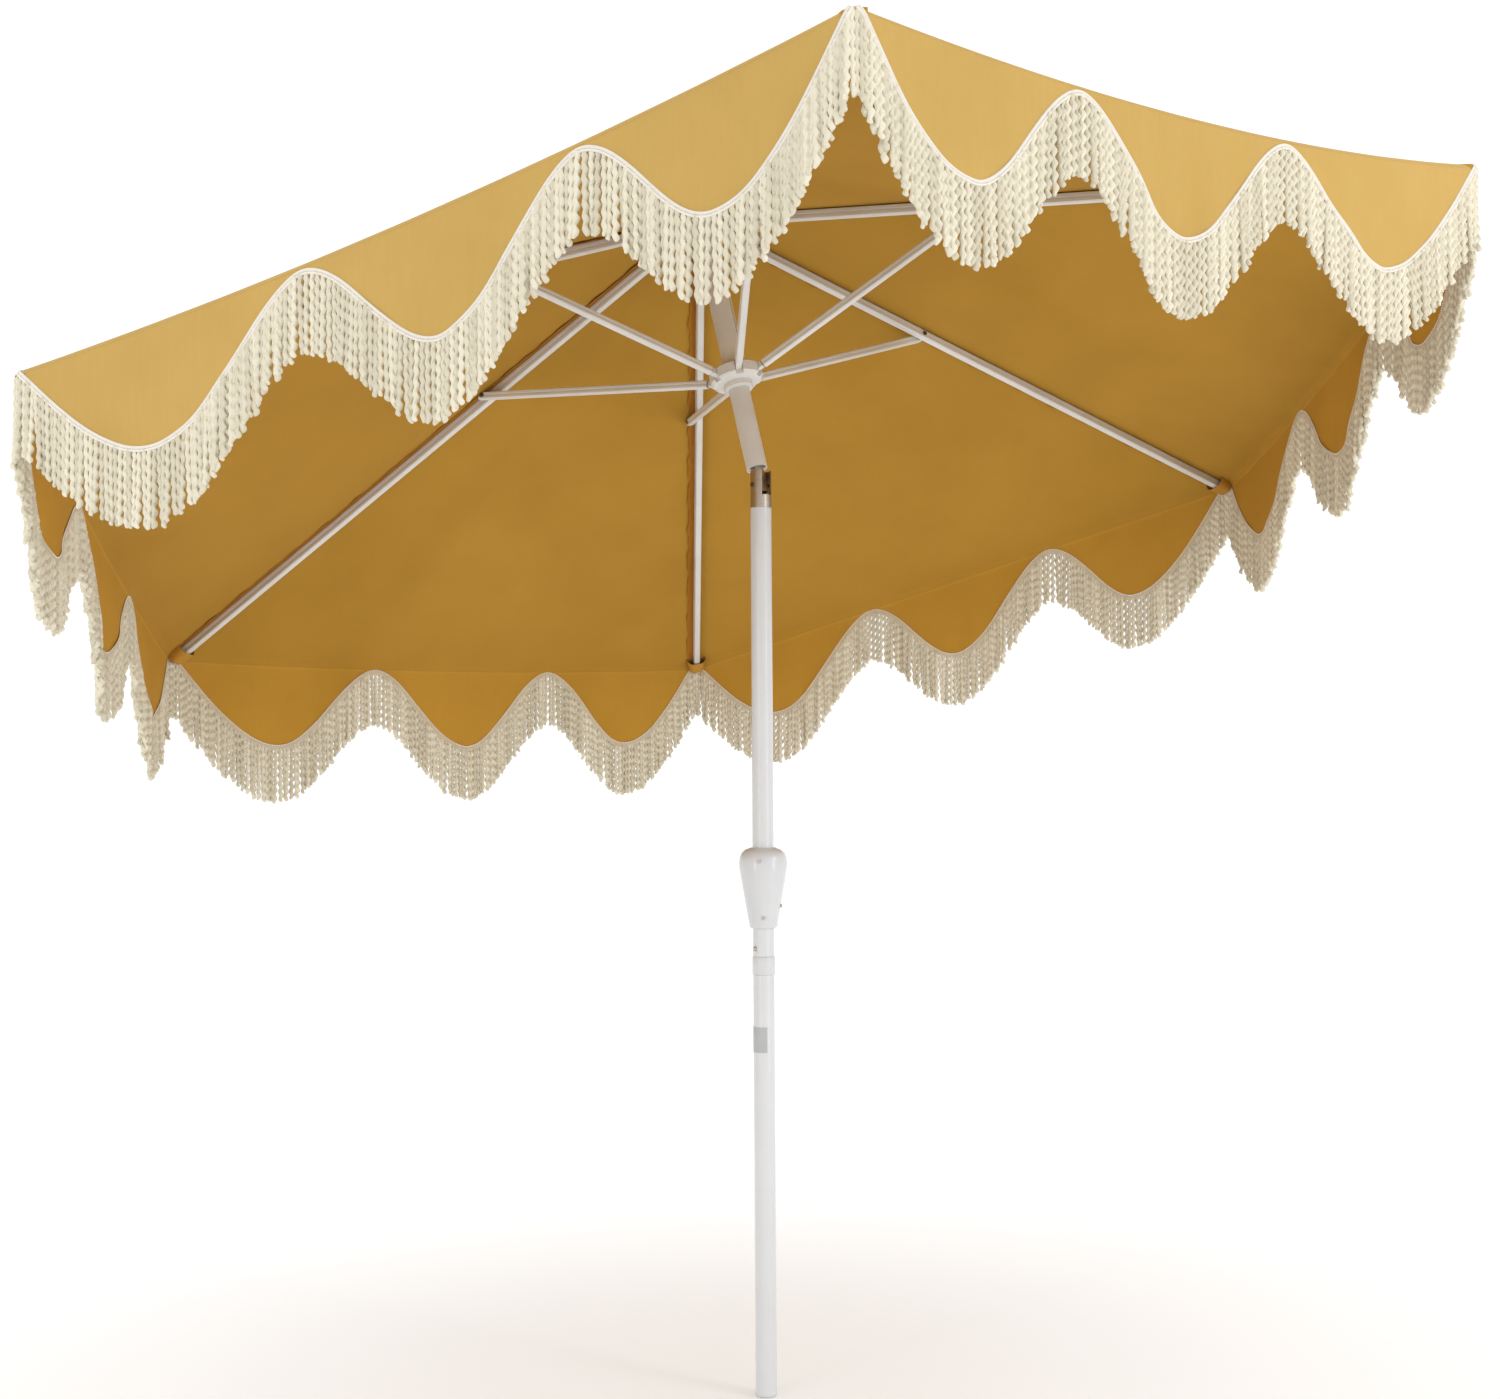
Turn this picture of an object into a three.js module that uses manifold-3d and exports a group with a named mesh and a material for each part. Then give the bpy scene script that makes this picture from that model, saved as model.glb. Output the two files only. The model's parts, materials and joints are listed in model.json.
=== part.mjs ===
// Six-rib market umbrella with a crank lift, a tilt joint and a fringed scalloped valance.
// Millimetres, +Z up. The origin is the centre of the pole's foot, the tilt axis is parallel to X
// and the canopy leans towards +Y.
import * as THREE from 'three';
import { mergeVertices } from 'three/addons/utils/BufferGeometryUtils.js';
import Module from 'manifold-3d';

const wasm = await Module();
wasm.setup();

// ---- driving dimensions ----
const GAP = 0.3;                                 // between pieces that touch
const DEGREE = Math.PI / 180;

const POLE_RADIUS = 19;
const POLE_WALL = 2;
const POLE_BORE = POLE_RADIUS - POLE_WALL;
const FOOT_THICKNESS = 3;
const COLLAR = { bottom: 751, top: 784, radius: 20.5 };
const NECK = { radius: 16.6, bore: 14.5, top: 826 };     // lower pole inside the middle pole
const SNAP = { height: 798, radius: 4, reach: 22 };
const FOOT_PLUG_HEIGHT = 28;
const LABEL = { bottom: 613, top: 658, halfAngle: 68 * DEGREE, azimuth: 180 * DEGREE };

const PIVOT_HEIGHT = 1631;                       // tilt pin above the foot
const TILT = 19.2 * DEGREE;
const SLEEVE = { bottom: 1590, top: 1656.6, bore: 16.8, neckBottom: 1560, slotBottom: 1613 };
const SLOT_WIDTH = 19.6;
const TILT_PIN = { radius: 3, headRadius: 4.4, headHeight: 1.6 };
const TILT_BUTTON = { height: 1604, radius: 5, reach: 22, flangeRadius: 6.3 };
const TONGUE = { width: 18, depth: 14, bottom: -14, insert: 30 };
const UPPER_POLE = { bottom: 32, top: 533 };     // heights above the tilt pin, along the tilted axis

const CRANK_AZIMUTH = 52 * DEGREE;
const CRANK_HEIGHT = 877;
const CRANK_THROW = 85;
const HOUSING = { bottom: 834, top: 979, waist: 25, shoulder: 43.5, wall: 2.5 };
const HOUSING_SCREWS = [
  { name: 'housing_screw_upper', azimuth: 222.5 * DEGREE, height: 956, radius: 43.4 },
  { name: 'housing_screw_lower', azimuth: 232 * DEGREE, height: 854, radius: 27.6 },
  { name: 'housing_screw_side', azimuth: 314 * DEGREE, height: 874, radius: 31.2 },
];
const SCREW = { shank: 2, head: 3.4 };
const SHAFT = { radius: 4, reach: 55, drumRadius: 11, drumHalf: 11.5 };
const ARM = { inner: 46, outer: 53, shaftEnd: 9, knobEnd: 7 };
const KNOB = { inner: 54, outer: 84, radius: 12, axle: 3 };

const RIB_COUNT = 6;
const RIB_STEP = 360 / RIB_COUNT * DEGREE;
const HINGE_RADIUS = 40;                         // rib and strut pivots, from the pole axis
const JOINT = { radius: 502, height: 363.6 };    // strut rivet on the rib
const TIP = { radius: 1313, height: 79 };        // where the rib's centre line meets the corner
const RIB_FALL = (JOINT.height - TIP.height) / (TIP.radius - JOINT.radius);
const CROWN_HEIGHT = JOINT.height + RIB_FALL * (JOINT.radius - HINGE_RADIUS);
const RIB_SLOPE = Math.atan(RIB_FALL);
const JOINT_ALONG_RIB = (JOINT.radius - HINGE_RADIUS) / Math.cos(RIB_SLOPE);
const RIVET = { radius: 2.2, headRadius: 4.5, headHeight: 1.5, spacerRadius: 5 };
const RIB = { width: 13.5, depth: 18, wall: 1.4, inner: -5.6, end: 1300 };
const STRUT = { width: 13, depth: 14, wall: 1.4, sideways: 18, overhang: 8 };
const RUNNER = { pivotHeight: 218, radius: 48.5, half: 13, collarRadius: 27, collarDrop: 15 };
const STRUT_INNER_RADIUS = 56.8;
const STRUT_ANGLE = Math.atan2(JOINT.height - RUNNER.pivotHeight, JOINT.radius - HINGE_RADIUS);
const HUB = { radius: 47, half: 11, lidHeight: 4.4, notchStart: 29 };
const CROWN_WIRE_RADIUS = 1.5;
const CAP = { rimRadius: 68, rimAboveRibs: 5.2, thickness: 3 };
const FINIAL = { stem: 8, base: 16, depth: 33 };
const PULLEY = { height: 482, offset: 9.4, groove: 12.4, radius: 13.8, width: 6 };
const CORD_RADIUS = 1.5;
const CORD_AZIMUTH = -30 * DEGREE;

const FABRIC = 2;                                // thickness of the plain cloth solids
const FABRIC_LIFT = 12.2;                        // cloth underside above the rib's centre line
const GORE_INNER_RADIUS = 58;
const GORE_SAGS = [0, 14, 25, 27, 46, 25];       // of each outer edge's middle, gore 1 to 6
const CORNER_REACHES = [0, 0, 0, 27, 0, 0];      // of the stretched cloth past each rib's corner
const SEAM_GAP = 0.4;
const VALANCE_INSET = 2.5;
// The hem's depths below the fold, and how broad its peaks stay before they fall away.
const HEM = { corner: 3, peak: 16, valley: 180, cornerPower: 1.03, peakPower: 1.74 };
const SCALLOPS = 3;
const HEM_SHIFTS = [-0.018, -0.02, 0, 0.041, -0.049, 0];  // of the scallops along each side
const FRINGE_DROP = 117;

// ---- finishes ----
const paint = { color: 0xefede6, roughness: 0.35, metalness: 0.0 };
const steel = { color: 0xb8b4ab, roughness: 0.3, metalness: 0.9 };
const plastic = { color: 0xf3f3f1, roughness: 0.25, metalness: 0.0 };
const yellowCloth = { color: 0xe2bc64, roughness: 0.9, metalness: 0.0 };
const creamTrim = { color: 0xe6dec8, roughness: 0.95, metalness: 0.0 };
const sticker = { color: 0xc9c9c7, roughness: 0.5, metalness: 0.0 };
const cordFinish = { color: 0xf0eee8, roughness: 0.9, metalness: 0.0 };

// ---- solid helpers ----
function toSolid(geometry) {
  const bare = geometry.index ? geometry.toNonIndexed() : geometry.clone();
  bare.deleteAttribute('normal');
  bare.deleteAttribute('uv');
  const merged = mergeVertices(bare, 1e-4);
  return new wasm.Manifold(new wasm.Mesh({
    numProp: 3,
    vertProperties: new Float32Array(merged.attributes.position.array),
    triVerts: new Uint32Array(merged.index.array),
  }));
}

function toGeometry(solid) {
  const mesh = solid.getMesh();
  const geometry = new THREE.BufferGeometry();
  geometry.setAttribute('position', new THREE.BufferAttribute(mesh.vertProperties, 3));
  geometry.setIndex(new THREE.BufferAttribute(mesh.triVerts, 1));
  return geometry;
}

const cut = (geometry, ...tools) =>
  toGeometry(tools.reduce((solid, tool) => solid.subtract(toSolid(tool)), toSolid(geometry)));

const join = (geometry, ...more) =>
  toGeometry(more.reduce((solid, other) => solid.add(toSolid(other)), toSolid(geometry)));

// A ring or disc turned about Z from [radius, height] points; it closes on itself or on the axis.
function turned(points, segments = 28) {
  const onAxis = points[0][0] === 0;
  const outline = points.map(([r, z]) => new THREE.Vector2(r, z));
  if (!onAxis) outline.push(outline[0].clone());
  const geometry = new THREE.LatheGeometry(outline, segments).rotateX(Math.PI / 2);
  const volume = signedVolume(geometry);
  if (volume < 0) geometry.index.array.reverse();
  return geometry;
}

function signedVolume(geometry) {
  const { position } = geometry.attributes;
  const [a, b, c] = [new THREE.Vector3(), new THREE.Vector3(), new THREE.Vector3()];
  let volume = 0;
  for (let i = 0; i < geometry.index.count; i += 3) {
    a.fromBufferAttribute(position, geometry.index.getX(i));
    b.fromBufferAttribute(position, geometry.index.getX(i + 1));
    c.fromBufferAttribute(position, geometry.index.getX(i + 2));
    volume += a.dot(b.cross(c)) / 6;
  }
  return volume;
}

const ring = (outer, inner, bottom, top, segments) =>
  turned([[inner, bottom], [outer, bottom], [outer, top], [inner, top]], segments);

// A cylinder from one point to another.
function rod(radius, from, to, segments = 10) {
  const start = new THREE.Vector3(...from);
  const along = new THREE.Vector3(...to).sub(start);
  const geometry = new THREE.CylinderGeometry(radius, radius, along.length(), segments);
  geometry.translate(0, along.length() / 2, 0);
  const up = new THREE.Vector3(0, 1, 0);
  geometry.applyQuaternion(new THREE.Quaternion().setFromUnitVectors(up, along.normalize()));
  return geometry.translate(...from);
}

function block(from, to) {
  const size = to.map((value, i) => value - from[i]);
  return new THREE.BoxGeometry(...size).translate(...from.map((value, i) => value + size[i] / 2));
}

// A point at an azimuth: radially out, sideways (counter-clockwise) and up.
function polar(azimuth, radius, height, sideways = 0) {
  return [
    radius * Math.cos(azimuth) - sideways * Math.sin(azimuth),
    radius * Math.sin(azimuth) + sideways * Math.cos(azimuth),
    height,
  ];
}

const radialRod = (radius, azimuth, height, from, to) =>
  rod(radius, polar(azimuth, from, height), polar(azimuth, to, height));

function piece(name, geometry, finish) {
  const mesh = new THREE.Mesh(geometry, new THREE.MeshStandardMaterial(finish));
  mesh.name = name;
  return mesh;
}

// ---- pole and foot ----
function footPlug() {
  const plugRadius = POLE_BORE - GAP;
  return turned([[0, 0], [POLE_RADIUS - 1, 0], [POLE_RADIUS, 1], [POLE_RADIUS, FOOT_THICKNESS],
    [plugRadius, FOOT_THICKNESS], [plugRadius, FOOT_PLUG_HEIGHT], [0, FOOT_PLUG_HEIGHT]]);
}

function lowerPole() {
  const bottom = FOOT_THICKNESS + GAP;
  const tube = turned([[POLE_BORE, bottom], [POLE_RADIUS, bottom], [POLE_RADIUS, COLLAR.bottom],
    [NECK.radius, COLLAR.bottom], [NECK.radius, NECK.top], [NECK.bore, NECK.top],
    [NECK.bore, COLLAR.bottom - 12], [POLE_BORE, COLLAR.bottom - 20]]);
  return cut(tube, snapHole());
}

const snapHole = () => rod(SNAP.radius + GAP, [-8, 0, SNAP.height], [-30, 0, SNAP.height]);

function couplingCollar() {
  const { radius, bottom, top } = COLLAR;
  const bore = NECK.radius + GAP;
  return turned([[bore, bottom + GAP], [radius - 1, bottom + GAP], [radius, bottom + 2],
    [radius, top - 2], [radius - 1, top - GAP], [bore, top - GAP]]);
}

function middlePole() {
  const tube = ring(POLE_RADIUS, POLE_BORE, COLLAR.top, SLEEVE.bottom - GAP);
  const shaftHole = radialRod(SHAFT.radius + 0.6, CRANK_AZIMUTH, CRANK_HEIGHT, 10, 25);
  return cut(tube, snapHole(), shaftHole);
}

function snapButton() {
  const flange = rod(6, [-10.9, 0, SNAP.height], [-12.4, 0, SNAP.height]);
  const pin = rod(SNAP.radius, [-12, 0, SNAP.height], [-SNAP.reach + 1, 0, SNAP.height]);
  const nose = new THREE.CylinderGeometry(SNAP.radius - 1.4, SNAP.radius, 1, 12);
  nose.rotateZ(Math.PI / 2).translate(-SNAP.reach + 0.5, 0, SNAP.height);
  return join(flange, pin, nose);
}

// A U-shaped leaf that pushes the button out and rests on the far side of the neck.
function snapSpring() {
  const [left, right, top, bend] = [-10.5, 13.8, SNAP.height + 8, SNAP.height - 25];
  const leaf = new THREE.Shape();
  const middle = (left + right) / 2;
  const radius = (right - left) / 2;
  leaf.moveTo(left, top);
  leaf.lineTo(left, bend);
  leaf.absarc(middle, bend, radius, Math.PI, 2 * Math.PI, false);
  leaf.lineTo(right, top);
  leaf.lineTo(right - 0.8, top);
  leaf.lineTo(right - 0.8, bend);
  leaf.absarc(middle, bend, radius - 0.8, 2 * Math.PI, Math.PI, true);
  leaf.lineTo(left + 0.8, top);
  const strip = new THREE.ExtrudeGeometry(leaf, { depth: 6, bevelEnabled: false, curveSegments: 12 });
  return strip.translate(0, 0, -3).rotateX(Math.PI / 2);
}

function labelSticker() {
  const { azimuth, halfAngle, bottom, top } = LABEL;
  const inner = POLE_RADIUS + GAP;
  const patch = new THREE.Shape();
  patch.absarc(0, 0, inner + 0.3, azimuth - halfAngle, azimuth + halfAngle, false);
  patch.absarc(0, 0, inner, azimuth + halfAngle, azimuth - halfAngle, true);
  return new THREE.ExtrudeGeometry(patch, {
    depth: top - bottom, bevelEnabled: false, curveSegments: 16,
  }).translate(0, 0, bottom);
}

// ---- crank ----
// The pear-shaped housing is one hollow turning, split behind the pole's centre line.
function housingShell() {
  const { bottom, top, waist, shoulder, wall } = HOUSING;
  const lip = POLE_RADIUS + 0.4;
  return turned([
    [lip, bottom], [waist - 2, bottom + 0.8], [waist, bottom + 4],
    [shoulder - 0.6, top - 37], [shoulder, top - 27], [shoulder - 1.5, top - 17],
    [shoulder - 5.5, top - 9], [shoulder - 12, top - 3.5], [lip + 3, top - 0.4], [lip, top],
    [lip, top - 4], [shoulder - 14, top - 6.5], [shoulder - 8, top - 12],
    [shoulder - 3.5, top - 19], [shoulder - wall, top - 27], [shoulder - wall - 0.6, top - 37],
    [waist - wall, bottom + 7], [lip, bottom + 4],
  ], 32);
}

function housingHalf(side) {
  const reach = 60;
  const near = side > 0 ? GAP / 2 : -reach;
  const far = side > 0 ? reach : -GAP / 2;
  const half = block([near, -reach, HOUSING.bottom - 5], [far, reach, HOUSING.top + 5]);
  half.rotateZ(CRANK_AZIMUTH);
  const shell = toSolid(housingShell()).intersect(toSolid(half));
  return toGeometry(shell);
}

function housingBack() {
  const boss = radialRod(10, CRANK_AZIMUTH, CRANK_HEIGHT, 28.5, 38);
  const bore = radialRod(SHAFT.radius + 0.8, CRANK_AZIMUTH, CRANK_HEIGHT, 20, 45);
  return cut(join(housingHalf(1), boss), bore);
}

function housingFront() {
  const holes = HOUSING_SCREWS.map(({ azimuth, height, radius }) =>
    radialRod(SCREW.shank + GAP, azimuth, height, radius - 8, radius + 5));
  return cut(housingHalf(-1), ...holes);
}

function housingScrew({ azimuth, height, radius }) {
  const shank = radialRod(SCREW.shank, azimuth, height, radius - 5, radius + 1);
  const head = radialRod(SCREW.head, azimuth, height, radius + 0.9, radius + 2.4);
  return join(shank, head);
}

// Cord drum inside the pole and the shaft that leaves the housing's back.
function windingShaft() {
  const { radius, reach, drumRadius, drumHalf } = SHAFT;
  const drum = radialRod(drumRadius, CRANK_AZIMUTH, CRANK_HEIGHT, -drumHalf, drumHalf);
  const shaft = radialRod(radius, CRANK_AZIMUTH, CRANK_HEIGHT, -15, reach);
  return join(drum, shaft);
}

function crankArm() {
  const plate = new THREE.Shape();
  plate.absarc(0, 0, ARM.shaftEnd, 0, Math.PI, false);
  plate.absarc(0, -CRANK_THROW, ARM.knobEnd, Math.PI, 2 * Math.PI, false);
  const arm = new THREE.ExtrudeGeometry(plate, {
    depth: ARM.outer - ARM.inner, bevelEnabled: false, curveSegments: 12,
  });
  arm.rotateX(Math.PI / 2).rotateZ(CRANK_AZIMUTH + Math.PI / 2);
  arm.translate(...polar(CRANK_AZIMUTH, ARM.inner, CRANK_HEIGHT));
  const knobHeight = CRANK_HEIGHT - CRANK_THROW;
  const reach = [ARM.inner - 5, ARM.outer + 5];
  const bore = radialRod(SHAFT.radius + GAP, CRANK_AZIMUTH, CRANK_HEIGHT, ...reach);
  const axle = radialRod(KNOB.axle, CRANK_AZIMUTH, knobHeight, ARM.outer - 2, KNOB.outer - 2);
  return join(cut(arm, bore), axle);
}

function crankKnob() {
  const { radius } = KNOB;
  const bore = KNOB.axle + GAP;
  const length = KNOB.outer - KNOB.inner;
  const grip = turned([[bore, 0], [radius - 3, 0], [radius - 1.5, 2], [radius - 2.5, 8],
    [radius, length - 8], [radius - 1, length - 3], [radius - 5, length], [bore, length]], 20);
  grip.rotateY(Math.PI / 2).rotateZ(CRANK_AZIMUTH);
  return grip.translate(...polar(CRANK_AZIMUTH, KNOB.inner, CRANK_HEIGHT - CRANK_THROW));
}

// ---- tilt joint ----
function tiltSleeve() {
  const { bottom, top, bore, neckBottom, slotBottom } = SLEEVE;
  const neck = POLE_BORE - GAP;
  const cordBore = 12;
  const body = turned([[cordBore, neckBottom], [neck, neckBottom], [neck, bottom],
    [POLE_RADIUS, bottom], [POLE_RADIUS, top], [bore, top], [bore, bottom + 7],
    [cordBore, bottom + 7]], 32);
  const slot = block([-SLOT_WIDTH / 2, -25, slotBottom], [SLOT_WIDTH / 2, 25, top + 5]);
  const pinHole = rod(TILT_PIN.radius + GAP, [-25, 0, PIVOT_HEIGHT], [25, 0, PIVOT_HEIGHT]);
  const { height, radius } = TILT_BUTTON;
  const buttonHole = rod(radius + GAP, [0, 8, height], [0, 25, height]);
  return cut(body, slot, pinHole, buttonHole);
}

function tiltButton() {
  const { height, radius, reach, flangeRadius } = TILT_BUTTON;
  const flange = rod(flangeRadius, [0, 9, height], [0, 11, height]);
  const button = rod(radius, [0, 10, height], [0, reach, height]);
  return join(flange, button);
}

function tiltPivotPin() {
  const { radius, headRadius, headHeight } = TILT_PIN;
  const reach = POLE_RADIUS + GAP;
  const pin = rod(radius, [-reach - 1, 0, PIVOT_HEIGHT], [reach + 1, 0, PIVOT_HEIGHT]);
  const heads = [-1, 1].map((side) => rod(headRadius, [side * reach, 0, PIVOT_HEIGHT],
    [side * (reach + headHeight), 0, PIVOT_HEIGHT]));
  return join(pin, ...heads);
}

// Everything below stands on the tilted axis, with heights above the tilt pin.
function tiltTongue() {
  const { width, depth, bottom, insert } = TONGUE;
  const base = UPPER_POLE.bottom;
  const blade = block([-width / 2, -depth / 2, bottom], [width / 2, depth / 2, base + 3]);
  const plug = ring(POLE_BORE - GAP, 4, base - 0.5, base + insert);
  const pinHole = rod(TILT_PIN.radius + GAP, [-20, 0, 0], [20, 0, 0]);
  const cordHole = rod(4, [0, 0, 12], [0, 0, 50]);
  return cut(join(blade, plug), pinHole, cordHole);
}

function upperPole() {
  const tube = ring(POLE_RADIUS, POLE_BORE, UPPER_POLE.bottom, UPPER_POLE.top);
  const half = PULLEY.width / 2 + 1;
  const { height } = PULLEY;
  const window = block([8, -half, height - 17], [26, half, height + 17]);
  return cut(tube, window.rotateZ(CORD_AZIMUTH));
}

// ---- crown ----
function crownHub() {
  const { radius, half, lidHeight, notchStart } = HUB;
  const [bottom, top] = [CROWN_HEIGHT - half, CROWN_HEIGHT + half];
  const lid = top + lidHeight;
  const bore = POLE_RADIUS + GAP;
  const stem = FINIAL.stem + GAP;
  const disc = turned([[bore, bottom], [radius - 2, bottom], [radius, bottom + 2],
    [radius, top - 2], [radius - 2, top], [notchStart - 1, top], [notchStart - 3, lid],
    [stem, lid], [stem, top], [bore, top]], 36);
  const cheek = RIB.width / 2 + 0.6;
  const notches = ribAzimuths().map((azimuth) =>
    block([notchStart, -cheek, bottom - 1], [60, cheek, top + 1]).rotateZ(azimuth));
  return cut(disc, ...notches, wireRing(CROWN_WIRE_RADIUS + 0.4));
}

const wireRing = (radius) =>
  new THREE.TorusGeometry(HINGE_RADIUS, radius, 6, 30).translate(0, 0, CROWN_HEIGHT);

const capUnderside = (radius) =>
  CROWN_HEIGHT + CAP.rimAboveRibs + RIB_FALL * (CAP.rimRadius - radius);

function crownCap() {
  const { rimRadius, thickness } = CAP;
  const hole = FINIAL.stem + GAP;
  const [rim, peak] = [capUnderside(rimRadius), capUnderside(hole)];
  return turned([[hole, peak], [rimRadius, rim], [rimRadius + 1, rim + 1.5],
    [rimRadius - 1, rim + thickness], [hole, peak + thickness]], 28);
}

function finial() {
  const { stem, base, depth } = FINIAL;
  const seat = capUnderside(stem) + CAP.thickness + 0.6;
  const foot = UPPER_POLE.top - depth;
  const outline = [[base, 5], [8, 11], [9, 15], [15, 26], [10, 38], [3, 44]];
  const profile = new THREE.SplineCurve(outline.map(([r, z]) => new THREE.Vector2(r, seat + z)))
    .getPoints(9).map(({ x, y }) => [x, y]);
  return turned([[0, foot], [stem, foot], [stem, seat], [base, seat], ...profile, [0, seat + 45]], 20);
}

function pulleyWheel() {
  const { height, offset, groove, radius, width } = PULLEY;
  const bore = 2 + GAP;
  const half = width / 2;
  const wheel = turned([[bore, -half], [radius, -half], [groove, 0], [radius, half], [bore, half]], 20);
  return wheel.rotateX(Math.PI / 2).translate(offset, 0, height).rotateZ(CORD_AZIMUTH);
}

function pulleyPin() {
  const { height, offset } = PULLEY;
  const half = 12.6;
  return rod(2, [offset, -half, height], [offset, half, height]).rotateZ(CORD_AZIMUTH);
}

// ---- lift cord ----
function cordRun(from, to) {
  const path = new THREE.LineCurve3(new THREE.Vector3(...from), new THREE.Vector3(...to));
  const section = new THREE.Shape().absarc(0, 0, CORD_RADIUS, 0, 2 * Math.PI);
  return new THREE.ExtrudeGeometry(section, {
    steps: 2, extrudePath: path, curveSegments: 4, bevelEnabled: false,
  });
}

const lowerCord = () =>
  cordRun(polar(CRANK_AZIMUTH + Math.PI / 2, 13, CRANK_HEIGHT), [0, 0, SLEEVE.slotBottom - 5]);

const innerCord = () =>
  cordRun([0, 0, 16], polar(CORD_AZIMUTH, PULLEY.offset - PULLEY.groove, PULLEY.height - 16));

const outerCord = () => {
  const radius = PULLEY.offset + PULLEY.groove;
  return cordRun(polar(CORD_AZIMUTH, radius, RUNNER.pivotHeight + RUNNER.half + GAP),
    polar(CORD_AZIMUTH, radius, PULLEY.height - 16));
};

// ---- runner, ribs and struts ----
const ribAzimuths = () => Array.from({ length: RIB_COUNT }, (_, k) => k * RIB_STEP);

// The stubs are the struts' inner ends, where each strut's pivot on the hub is left open.
function runnerHub() {
  const { pivotHeight, radius, half, collarRadius, collarDrop } = RUNNER;
  const [bottom, top] = [pivotHeight - half, pivotHeight + half];
  const bore = POLE_RADIUS + 0.6;
  const disc = turned([[bore, bottom - collarDrop], [collarRadius - 2, bottom - collarDrop],
    [collarRadius, bottom - collarDrop + 3], [collarRadius, bottom - 2], [collarRadius + 3, bottom],
    [radius - 4, bottom], [radius, bottom + 4], [radius, top - 4], [radius - 4, top], [bore, top]], 36);
  const cheekGap = STRUT.width / 2 + 0.7;
  const notches = ribAzimuths().map((azimuth) =>
    block([radius - 7, -cheekGap, bottom - 1], [radius + 5, cheekGap, top + 1]).rotateZ(azimuth));
  const stubHalf = STRUT.width / 2 - 1;
  const stubEnd = STRUT_INNER_RADIUS - 1.6 - HINGE_RADIUS;
  const stubs = ribAzimuths().map((azimuth) => {
    const stub = block([-14, -stubHalf, -5], [stubEnd, stubHalf, 5]).rotateY(-STRUT_ANGLE);
    return stub.translate(HINGE_RADIUS, 0, pivotHeight).rotateZ(azimuth);
  });
  return join(cut(disc, ...notches), ...stubs);
}

// A hollow bar along +X with bevelled edges and a shallow groove along both sides.
function channelBar({ width, depth, wall }, from, to) {
  const [w, d, bevel, groove] = [width / 2, depth / 2, 1.6, 0.5];
  const outline = new THREE.Shape();
  outline.moveTo(-w + bevel, -d);
  outline.lineTo(w - bevel, -d);
  outline.lineTo(w, -d + bevel);
  outline.lineTo(w, -2);
  outline.lineTo(w - groove, -1.2);
  outline.lineTo(w - groove, 1.2);
  outline.lineTo(w, 2);
  outline.lineTo(w, d - bevel);
  outline.lineTo(w - bevel, d);
  outline.lineTo(-w + bevel, d);
  outline.lineTo(-w, d - bevel);
  outline.lineTo(-w, 2);
  outline.lineTo(-w + groove, 1.2);
  outline.lineTo(-w + groove, -1.2);
  outline.lineTo(-w, -2);
  outline.lineTo(-w, -d + bevel);
  const hollow = new THREE.Path();
  hollow.moveTo(-w + wall + groove, -d + wall);
  hollow.lineTo(-w + wall + groove, d - wall);
  hollow.lineTo(w - wall - groove, d - wall);
  hollow.lineTo(w - wall - groove, -d + wall);
  outline.holes.push(hollow);
  const bar = new THREE.ExtrudeGeometry(outline, { depth: to - from, bevelEnabled: false });
  return bar.translate(0, 0, from).rotateX(Math.PI / 2).rotateZ(Math.PI / 2);
}

// Bar coordinates to the rib's place: X runs out along the rib from its crown pivot.
const placeRib = (geometry, azimuth) =>
  geometry.rotateY(RIB_SLOPE).translate(HINGE_RADIUS, 0, CROWN_HEIGHT).rotateZ(azimuth);

function rib(azimuth) {
  const length = (RIB.end - HINGE_RADIUS) / Math.cos(RIB_SLOPE);
  const bar = channelBar(RIB, RIB.inner, length);
  const pivotHole = rod(2.4, [0, -20, 0], [0, 20, 0]);
  const rivetHole = rod(RIVET.radius + GAP, [JOINT_ALONG_RIB, -20, 0], [JOINT_ALONG_RIB, 20, 0]);
  return placeRib(cut(bar, pivotHole, rivetHole), azimuth);
}

// Rivet through rib and strut, with the spacer that keeps them apart.
function strutRivet(azimuth) {
  const { radius, headRadius, headHeight, spacerRadius } = RIVET;
  const ribSide = RIB.width / 2 + GAP;
  const strutSide = STRUT.sideways - STRUT.width / 2 - 0.6;
  const strutFar = STRUT.sideways + STRUT.width / 2 + 0.6;
  const at = (size, from, to) => rod(size, [JOINT_ALONG_RIB, from, 0], [JOINT_ALONG_RIB, to, 0]);
  const solid = join(at(radius, -ribSide - 1, strutFar + 1),
    at(headRadius, -ribSide - headHeight, -ribSide), at(spacerRadius, ribSide, strutSide),
    at(headRadius, strutFar, strutFar + headHeight));
  return placeRib(solid, azimuth);
}

function strut(azimuth) {
  const pivot = new THREE.Vector3(...polar(0, HINGE_RADIUS, RUNNER.pivotHeight));
  const joint = new THREE.Vector3(...polar(0, JOINT.radius, JOINT.height, STRUT.sideways));
  const length = joint.distanceTo(pivot);
  const inner = (STRUT_INNER_RADIUS - HINGE_RADIUS) / Math.cos(STRUT_ANGLE);
  const bar = channelBar(STRUT, inner, length + STRUT.overhang);
  const sideTurn = Math.asin(STRUT.sideways / length);
  bar.rotateZ(sideTurn).rotateY(-STRUT_ANGLE).translate(...pivot);
  const hole = rod(RIVET.radius + 0.6, [joint.x, -10, joint.z], [joint.x, 50, joint.z]);
  const clothRoom = block([JOINT_ALONG_RIB - 60, 0, 4.5], [JOINT_ALONG_RIB + 40, 60, 40]);
  return cut(bar, hole, placeRib(clothRoom, 0)).rotateZ(azimuth);
}

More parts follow.
